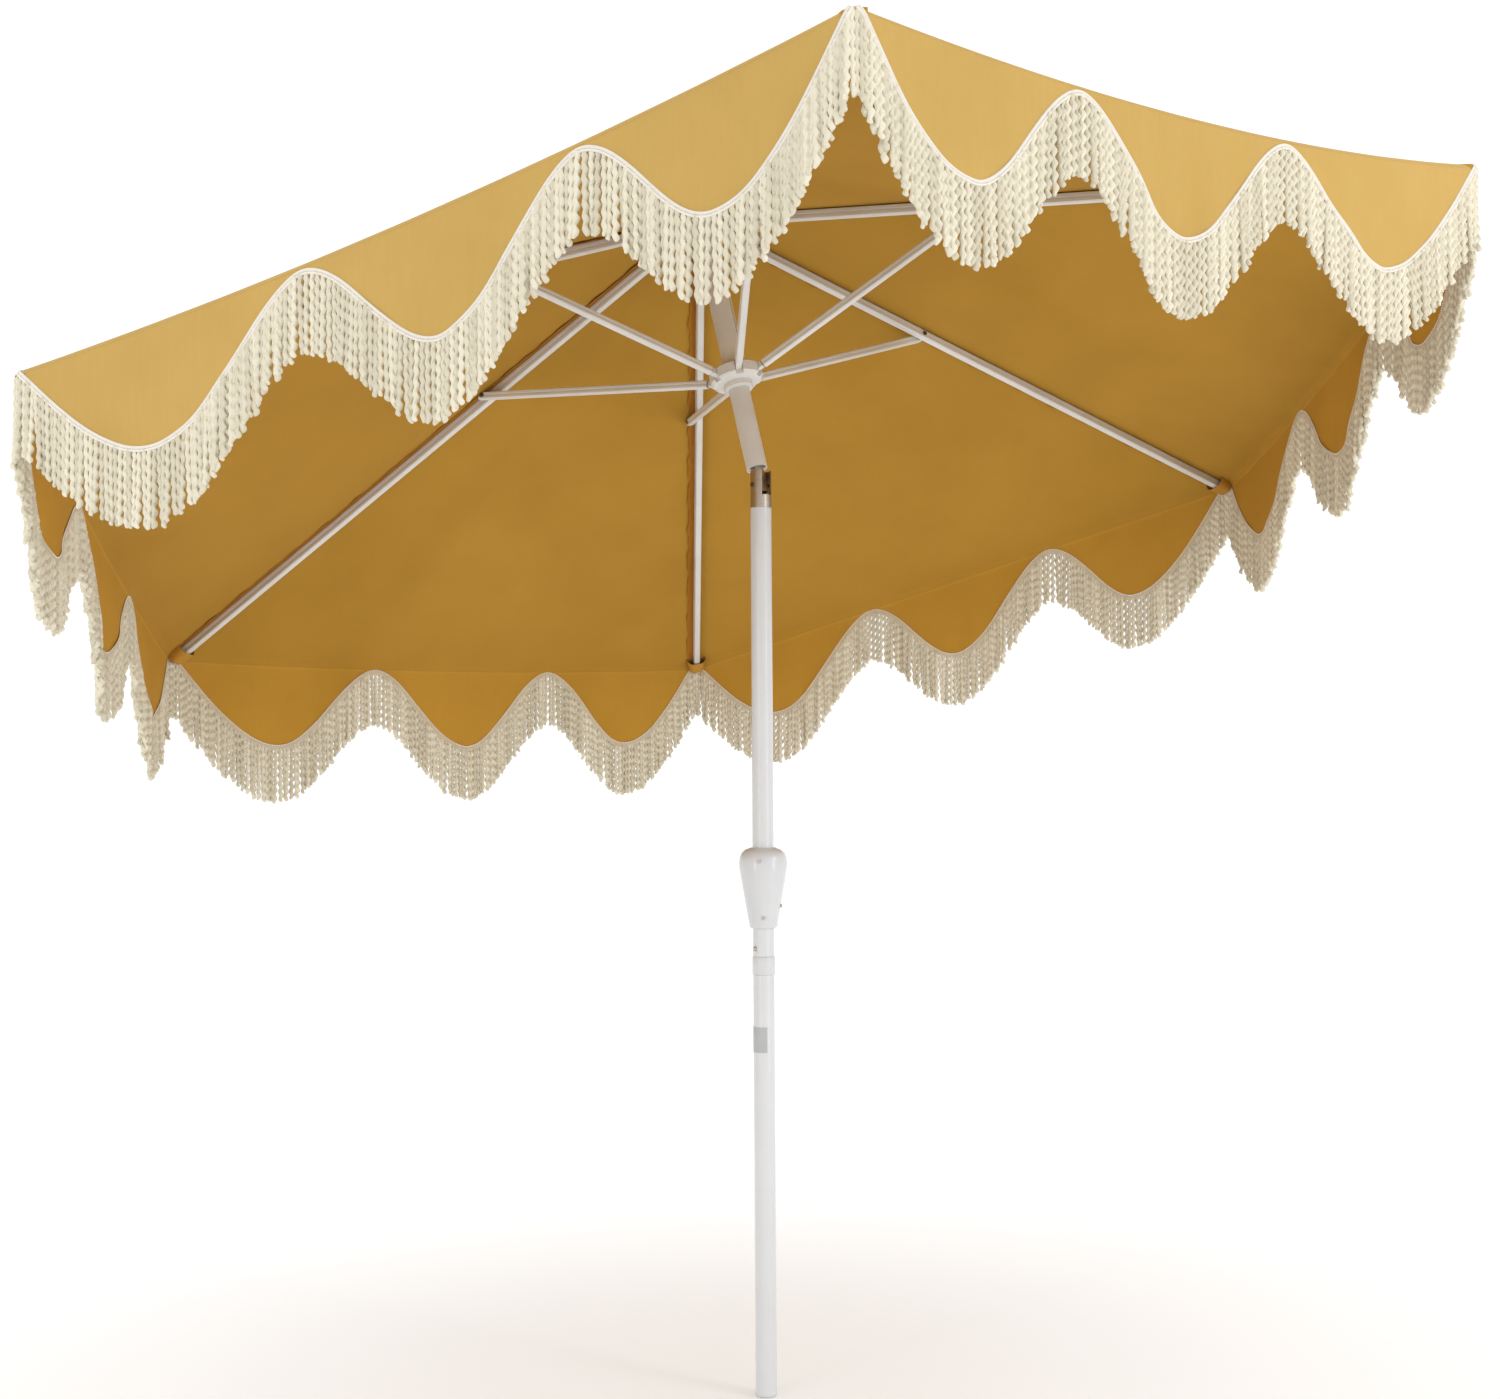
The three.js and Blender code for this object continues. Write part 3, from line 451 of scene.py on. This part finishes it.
def finish_nodes():
    frame_parts = ("rib_", "strut_", "runner", "crown_hub", "upper_pole")
    by_slot = {"white_paint": WHITE_PAINT, "white_plastic": WHITE_PLASTIC, "bare_steel": STEEL_WITH_PAINTED_REFLECTION,
               "yellow_cloth": CLOTH_TOP, "cream_fringe": FRINGE_YARN, "blank_label": LABEL,
               "braided_cord": CORD}
    riveted = ("strut_rivet_", "tilt_pivot_pin", "tilt_button")
    for entry in frame["record"]["subparts"]:
        name, slot_name = entry["node"], entry["material_slot"]
        material = by_slot[slot_name]
        if name.startswith(frame_parts):
            material = FRAME_PAINT
        if name.startswith(riveted):
            material = DARK_STEEL
        node = frame["nodes"][name]
        node.data.materials.clear()
        node.data.materials.append(material)
        round_shading(node)


# ---- cloth ----
def fold(obj):
    """Gives a side's piece a mesh of its own."""
    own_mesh(obj)


def finish_side_piece(obj, side, body):
    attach(obj, f"{body}_{side + 1}")
    fold(obj)
    return obj


def make_gore(side):
    across = np.linspace(0.0, 1.0, 73)[None, :]
    down = (1.0 - np.linspace(1.0, 0.0, 61) ** 1.6)[:, None]
    points = gore_points(side, across, down)
    from_fold = (1.0 - down) * (TIP_RADIUS - GORE_INNER_RADIUS)
    points[..., 2] -= turned_in(from_fold)
    slope = (TIP_RADIUS - GORE_INNER_RADIUS) / math.cos(RIB_SLOPE)
    radius = GORE_INNER_RADIUS + (TIP_RADIUS - GORE_INNER_RADIUS) * down
    flat = np.stack(np.broadcast_arrays((across - 0.5) * radius, down * slope), axis=-1)
    # the underside takes the cloth painted with shade
    obj = cloth_sheet(f"canopy_gore_{side + 1}", points, flat, [CLOTH_TOP, CLOTH_UNDER_PAINTED_SHADE])
    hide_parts(f"gore_{side + 1}")
    finish_side_piece(obj, side, "gore")


def hem_frame(side, step):
    """Points along the hem with the directions out of the cloth and up from the hem in its plane."""
    along, length = hem_line(side, step)
    points = valance_points(side, along, hem_depth(side, along))
    tangent = np.gradient(points, axis=0)
    tangent /= np.linalg.norm(tangent, axis=1)[:, None]
    out = np.broadcast_to(side_directions(side)[1], points.shape)
    up = np.cross(tangent, out)
    up *= np.sign(up[:, 2:3] + 1e-9)
    up /= np.linalg.norm(up, axis=1)[:, None]
    return along, points, out, up, length


def piping_profile():
    """Section of the corded edge: a round cord below, a groove, and a flat welt above it."""
    across = np.linspace(0.0, PIPING_WIDTH, 19)
    from_cord = np.clip(np.abs(across - CORD_WELT_RADIUS) / CORD_WELT_RADIUS, 0.0, 1.0)
    round_cord = 0.0024 * np.sqrt(1.0 - from_cord ** 2)
    welt_share = (across - 2.2 * CORD_WELT_RADIUS) / (PIPING_WIDTH - 2.2 * CORD_WELT_RADIUS)
    welt = 0.0013 * np.sqrt(np.clip(1.0 - (2.0 * welt_share - 1.0) ** 4, 0.0, 1.0)) * (welt_share >= 0.0)
    front = np.stack([across, 0.0003 + np.maximum(round_cord, welt)], axis=-1)
    back = np.array([(PIPING_WIDTH, -0.0005), (0.0, -0.0005)])
    return np.concatenate([front, back])


def make_piping(side):
    """The corded edge that is sewn along the hem on the outside."""
    _, points, out, up, _ = hem_frame(side, 0.005)
    path = points + out * 0.0011 - up * 0.0008
    obj = swept(f"hem_piping_{side + 1}", path, up, out, piping_profile(), PIPING_YARN)
    return finish_side_piece(obj, side, "valance")


def make_braid(side):
    """The woven header on the inside, with raised slanting ribs."""
    along, points, out, up, length = hem_frame(side, 0.0016)
    across = np.linspace(0.0, BRAID_WIDTH, 9)
    run = np.linspace(0.0, length, len(along))
    room = np.minimum(1.0, (hem_depth(side, along) + 0.004) / BRAID_WIDTH)
    lift = across[None, :] * np.maximum(room, 0.15)[:, None]
    slant = run[:, None] / BRAID_RIB_PITCH + np.abs(across - BRAID_WIDTH / 2.0)[None, :] / 0.006
    raised = 0.0008 + 0.0005 * np.sin(math.tau * slant)
    edge = np.minimum(across, BRAID_WIDTH - across) / 0.002
    raised = raised * np.clip(edge, 0.35, 1.0)[None, :]
    proud = (raised + 0.0012)[..., None]
    sheet = points[:, None, :] + up[:, None, :] * lift[..., None] - out[:, None, :] * proud
    obj = new_object(f"header_braid_{side + 1}", sheet, grid_faces(len(along), len(across)), [BRAID])
    set_uv(obj, np.stack(np.broadcast_arrays(run[:, None], across[None, :]), axis=-1).reshape(-1, 2))
    solid = obj.modifiers.new("thickness", "SOLIDIFY")
    solid.thickness = TRIM_THICKNESS
    apply_modifiers(obj)
    return finish_side_piece(obj, side, "valance")


def bead(centre, along, up, out, half_length, half_width, half_height):
    """The corners of one stitch: a long bead that is pinched at both ends."""
    ring = [(0.55, 0.0, 1.0), (0.55, 1.0, 0.0), (0.55, 0.0, -1.0), (0.55, -1.0, 0.0)]
    corners = [centre - along * half_length]
    for end in (-1.0, 1.0):
        for place, high, far in ring:
            corners.append(centre + along * (end * place * half_length) + up * (high * half_width)
                           + out * (far * half_height))
    corners.append(centre + along * half_length)
    return corners


BEAD_FACES = ([(0, 1 + (i + 1) % 4, 1 + i) for i in range(4)]
              + [(1 + i, 1 + (i + 1) % 4, 5 + (i + 1) % 4, 5 + i) for i in range(4)]
              + [(9, 5 + i, 5 + (i + 1) % 4) for i in range(4)])


def stitches(name, places, along, up, out, length, width, height, material):
    """A row of stitches as one mesh."""
    vertices, faces = [], []
    for place, run, rise, outwards in zip(places, along, up, out):
        first = len(vertices)
        vertices.extend(bead(place, run, rise, outwards, length / 2, width / 2, height / 2))
        faces.extend([tuple(first + corner for corner in face) for face in BEAD_FACES])
    return new_object(name, vertices, faces, [material], closed=True)


def make_header_stitches(side):
    along, points, out, up, _ = hem_frame(side, STITCH_PITCH)
    keep = hem_depth(side, along) > BRAID_WIDTH + 0.002
    tangent = np.cross(out, up)
    places = points + up * (BRAID_WIDTH + 0.0003) - out * 0.0022
    obj = stitches(f"header_stitching_{side + 1}", places[keep], tangent[keep], up[keep], out[keep],
                   STITCH_LENGTH, STITCH_WIDTH, STITCH_HEIGHT, STITCH)
    return finish_side_piece(obj, side, "valance")


def rib_place(rib, along, sideways, height):
    """A point beside a rib: along it from its crown hinge, to its left and above its centre line."""
    along, sideways, height = np.broadcast_arrays(along, sideways, height)
    radius = HINGE_RADIUS + along * math.cos(RIB_SLOPE) + height * math.sin(RIB_SLOPE)
    rise = CROWN_HEIGHT - along * math.sin(RIB_SLOPE) + height * math.cos(RIB_SLOPE)
    azimuth = rib * SIDE_ANGLE
    out = np.array((math.cos(azimuth), math.sin(azimuth), 0.0))
    left = np.array((-math.sin(azimuth), math.cos(azimuth), 0.0))
    points = radius[..., None] * out + sideways[..., None] * left
    points[..., 2] += rise
    return from_mast(points)


def under_cloth(sideways, gap):
    """A height below the canopy, which falls away on both sides of a rib."""
    return CLOTH_LIFT * math.cos(RIB_SLOPE) - CLOTH_FALL_ASIDE * np.abs(sideways) - gap


def make_pocket(rib):
    """The flat cloth patch that holds a rib's end in the canopy's corner, bulging below over the rib."""
    turn = np.linspace(0.0, math.tau, 32, endpoint=False)[None, :]
    share = np.linspace(0.0, 1.0, 15)[:, None]
    along = RIB_LENGTH - POCKET_LENGTH + share * (POCKET_LENGTH + 0.004)
    close = np.sqrt(np.clip(1.0 - smooth_step(share, 0.78, 1.03) ** 2, 0.03, 1.0))
    sideways = (POCKET_HALF_WIDTH - POCKET_TAPER * share) * np.cos(turn)
    bulge = np.sqrt(1.0 - np.abs(np.cos(turn)) ** 2.4) * close + 0.02 * np.sin(3.0 * turn + 5.0 * share)
    drop = np.where(np.sin(turn) < 0.0, POCKET_DEPTH * np.abs(bulge), 0.0)
    height = under_cloth(sideways, 0.0016) - drop
    points = rib_place(rib, along, sideways, height)
    faces = grid_faces(15, 32, wrap=True)
    faces.append(list(range(14 * 32, 15 * 32)))
    obj = new_object(f"corner_pocket_{rib + 1}", points, faces, [POCKET_CLOTH])
    set_uv(obj, np.stack(np.broadcast_arrays(turn * 0.01, along), axis=-1).reshape(-1, 2))
    solid = obj.modifiers.new("thickness", "SOLIDIFY")
    solid.thickness = TRIM_THICKNESS
    apply_modifiers(obj)
    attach(obj, f"rib_{rib + 1}")


def make_seam(rib):
    """The turned seam allowance that stands a little off the cloth beside a rib, coloured darker as painted
    shade.
    """
    along = np.linspace(SEAM_START, RIB_LENGTH - POCKET_LENGTH - 0.01, 240)[:, None]
    share = np.linspace(0.0, 1.0, 6)[None, :]
    wave = 0.0010 * np.sin(along * 61.0 + rib) + 0.0008 * np.sin(along * 143.0 + 2.0 * rib)
    sideways = SEAM_ASIDE + share * (SEAM_WIDTH + 1.8 * wave)
    height = under_cloth(sideways, 0.0024 + share * (0.0010 + 0.4 * wave))
    points = rib_place(rib, along, sideways, height)
    flat = np.stack(np.broadcast_arrays(share * 0.012, along), axis=-1)
    obj = cloth_sheet(f"seam_allowance_and_shade_{rib + 1}", points, flat, [SEAM_SHADE_CLOTH, SEAM_SHADE_CLOTH], SEAM_THICKNESS)
    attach(obj, f"rib_{rib + 1}")


# ---- fringe ----
def strand_rings(length):
    """Heights down a strand and how wide it is at each, rounded off at the looped end."""
    even = np.linspace(0.0, 1.0, RING_COUNT)
    height = length * (1.0 - (1.0 - even) ** 1.12)
    from_end = np.clip((length - height) / (STRAND_RADIUS * 1.15), 0.0, 1.0)
    width = np.sqrt(np.clip(1.0 - (1.0 - from_end) ** 2, 0.02, 1.0))
    return height, width * (0.82 + 0.18 * smooth_step(height, 0.0, 0.012))


def strand(top, length, sway, phase, girth):
    """A tightly twisted two-ply cord that hangs from its top: its line is a corkscrew with a slight bow."""
    height, width = strand_rings(length)
    turn = np.linspace(0.0, math.tau, RING_POINTS, endpoint=False)[None, :]
    twist = height / STRAND_TWIST * math.tau + phase
    lobes = 0.84 + 0.16 * np.cos(2.0 * (turn - twist[:, None] / 2.0))
    radius = STRAND_RADIUS * girth * width[:, None] * lobes
    bow = (height / length) ** 1.6
    wound = CORKSCREW_RADIUS * smooth_step(height, 0.0, 0.010)[:, None]
    screw = np.stack([np.cos(twist), np.sin(twist), np.zeros_like(twist)], axis=-1) * wound
    centre = top + sway * bow[:, None] + screw - np.array((0, 0, 1.0)) * height[:, None]
    ring = np.stack([radius * np.cos(turn), radius * np.sin(turn), np.zeros_like(radius)], axis=-1)
    return centre[:, None, :] + ring


def make_fringe(side):
    along, tops, out, up, _ = hem_frame(side, STRAND_PITCH)
    run = side_directions(side)[0]
    rings, faces = [], []
    for index, (top, outwards, rise) in enumerate(zip(tops, out, up)):
        cling = 0.0022 * math.sin(index * 2.1 + side) + rng.normal(0.0, 0.0016)
        sway = run * cling + outwards * rng.normal(0.0, 0.0030)
        start = top + rise * 0.003 + outwards * rng.normal(0.0, 0.0009)
        length = FRINGE_LENGTH + rng.normal(0.0, 0.0022)
        points = strand(start, length, sway, rng.uniform(0.0, math.tau), rng.uniform(0.93, 1.05))
        first = index * RING_COUNT * RING_POINTS
        faces.extend(grid_faces(RING_COUNT, RING_POINTS, wrap=True, first=first))
        faces.append(list(range(first + RING_POINTS - 1, first - 1, -1)))
        faces.append(list(range(first + (RING_COUNT - 1) * RING_POINTS, first + RING_COUNT * RING_POINTS)))
        rings.append(points)
    obj = new_object(f"bullion_fringe_{side + 1}", np.concatenate(rings), faces, [FRINGE_YARN], closed=True)
    return finish_side_piece(obj, side, "valance")


def make_valance(side):
    along = np.linspace(0.0, 1.0, 145)[None, :]
    share = (np.linspace(0.0, 1.0, 21) ** 1.5)[:, None]
    start = np.minimum(FOLD_RADIUS / 2.0, hem_depth(side, along) - 0.001)
    depth = start + share * (hem_depth(side, along) - start)
    points = valance_points(side, along, depth)
    flat = np.stack(np.broadcast_arrays(along * TIP_RADIUS, depth), axis=-1)
    # the inside takes the cloth painted with shade and glow
    obj = cloth_sheet(f"valance_cloth_{side + 1}", points, flat, [CLOTH_TOP, VALANCE_INSIDE_PAINTED_GLOW])
    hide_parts(f"valance_{side + 1}")
    trims = [make_piping(side), make_braid(side), make_header_stitches(side), make_fringe(side)]
    finish_side_piece(obj, side, "valance")


# ---- camera, lights and floor ----
def add_camera():
    """The photograph's viewing angle, with a 36 mm wide sensor."""
    data = bpy.data.cameras.new("camera")
    data.sensor_fit = "HORIZONTAL"
    data.sensor_width = 36.0
    data.lens = 52.94
    data.clip_end = 100.0
    camera = bpy.data.objects.new("camera", data)
    yaw, pitch, roll = (math.radians(a) for a in (-37.5175, 1.0154, 0.3492))
    camera.matrix_world = (Matrix.Translation((-2.4341, -3.1344, 1.1745)) @ Matrix.Rotation(yaw, 4, "Z")
                           @ Matrix.Rotation(pitch, 4, "X") @ Matrix.Rotation(roll, 4, "Y")
                           @ Matrix.Rotation(math.pi / 2, 4, "X"))
    bpy.context.scene.collection.objects.link(camera)
    bpy.context.scene.camera = camera


def area_light(name, place, target, width, height, power):
    data = bpy.data.lights.new(name, "AREA")
    data.shape = "RECTANGLE"
    data.size = width
    data.size_y = height
    data.energy = power
    lamp = bpy.data.objects.new(name, data)
    lamp.location = place
    lamp.rotation_euler = (Vector(target) - Vector(place)).to_track_quat("-Z", "Y").to_euler()
    bpy.context.scene.collection.objects.link(lamp)


def light_studio():
    """A white room, a soft key, and two tall strips that the pole mirrors."""
    world = bpy.data.worlds.new("studio")
    world.use_nodes = True
    world.node_tree.nodes["Background"].inputs["Color"].default_value = (1.0, 1.0, 1.0, 1.0)
    world.node_tree.nodes["Background"].inputs["Strength"].default_value = 1.12
    bpy.context.scene.world = world
    area_light("key", (2.0, -5.0, 3.6), (0, 0, 1.7), 1.5, 1.5, 30.0)
    area_light("strip_left", (-3.9, -0.9, 1.1), (0, 0, 1.1), 0.35, 2.2, 14.0)
    area_light("strip_right", (1.0, -3.9, 1.1), (0, 0, 1.1), 0.35, 2.2, 18.0)
    bpy.context.scene.view_settings.view_transform = "Standard"


def lay_floor():
    finish = Finish("Pale_floor", roughness=0.9)
    finish.colours(finish.noise(0.6, 2.0), (0.4, (0.972, 0.975, 0.98)), (0.6, (0.98, 0.982, 0.985)))
    reach, under = 30.0, -0.0005
    corners = [(x * reach, y * reach, under) for x, y in ((-1, -1), (1, -1), (1, 1), (-1, 1))]
    floor = new_object("floor", corners, [(0, 1, 2, 3)], [finish.material])


add_camera()
light_studio()
lay_floor()
finish_nodes()
for each_side in range(SIDES):
    make_gore(each_side)
    make_valance(each_side)
    make_pocket(each_side)
    make_seam(each_side)
